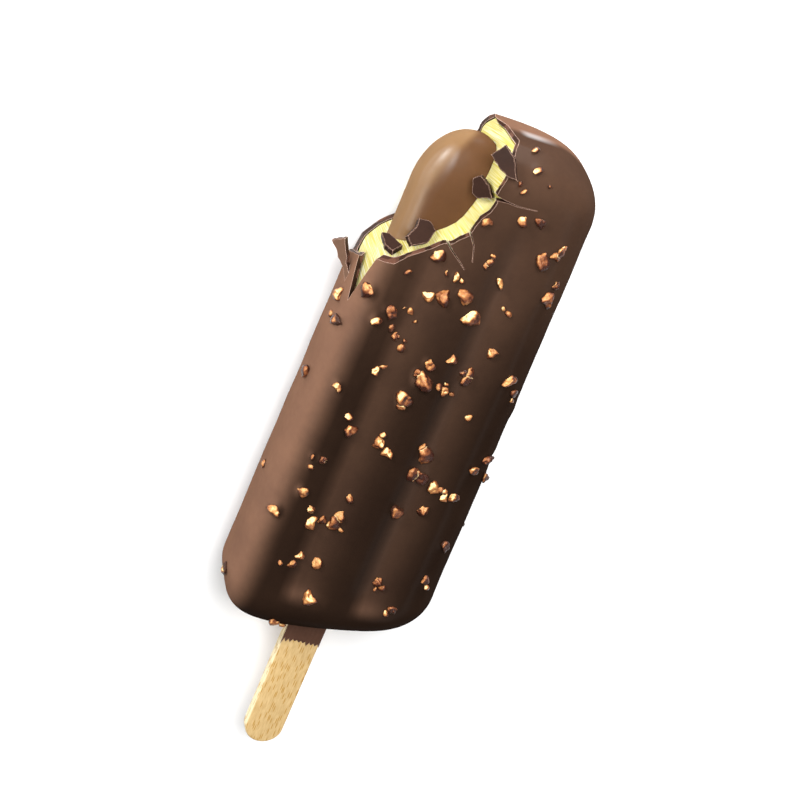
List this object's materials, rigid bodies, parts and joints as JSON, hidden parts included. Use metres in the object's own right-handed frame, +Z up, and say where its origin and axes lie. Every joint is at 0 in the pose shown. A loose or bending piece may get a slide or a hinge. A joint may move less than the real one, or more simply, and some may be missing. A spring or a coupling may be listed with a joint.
{
  "type": "ice cream bar",
  "caption": "Chocolate-coated ice cream bar with chopped nuts on a flat wooden stick, bitten open at one top corner to show its ice cream and its praline core.",
  "frame": {"origin": "on the resting face, under the middle of the bar's back", "axes": "+Y along the bar from the stick to the bitten end, +Z up out of the front face, +X across to the right as seen from the front"},
  "size_m": [0.0495, 0.1497, 0.0269],
  "materials": {
    "chocolate": "set chocolate couverture with a soft satin sheen, set with golden chopped nuts",
    "ice_cream": "frozen pale yellow ice cream, broken open, with fine pale streaks",
    "praline": "smooth light brown praline cream with a soft gloss",
    "nuts": "chopped roasted nuts, golden to cream with reddish brown edges",
    "stick_wood": "bare pale birch, fine short grain marks along its length"
  },
  "bodies": {
    "root": {"coating": "chocolate", "ice_cream": "ice_cream", "core": "praline", "stick": "stick_wood", "shard_on_rim": "chocolate", "shard_on_core_edge": "chocolate", "shard_on_core": "chocolate", "shard_on_filling": "chocolate"}
  },
  "joints": []
}
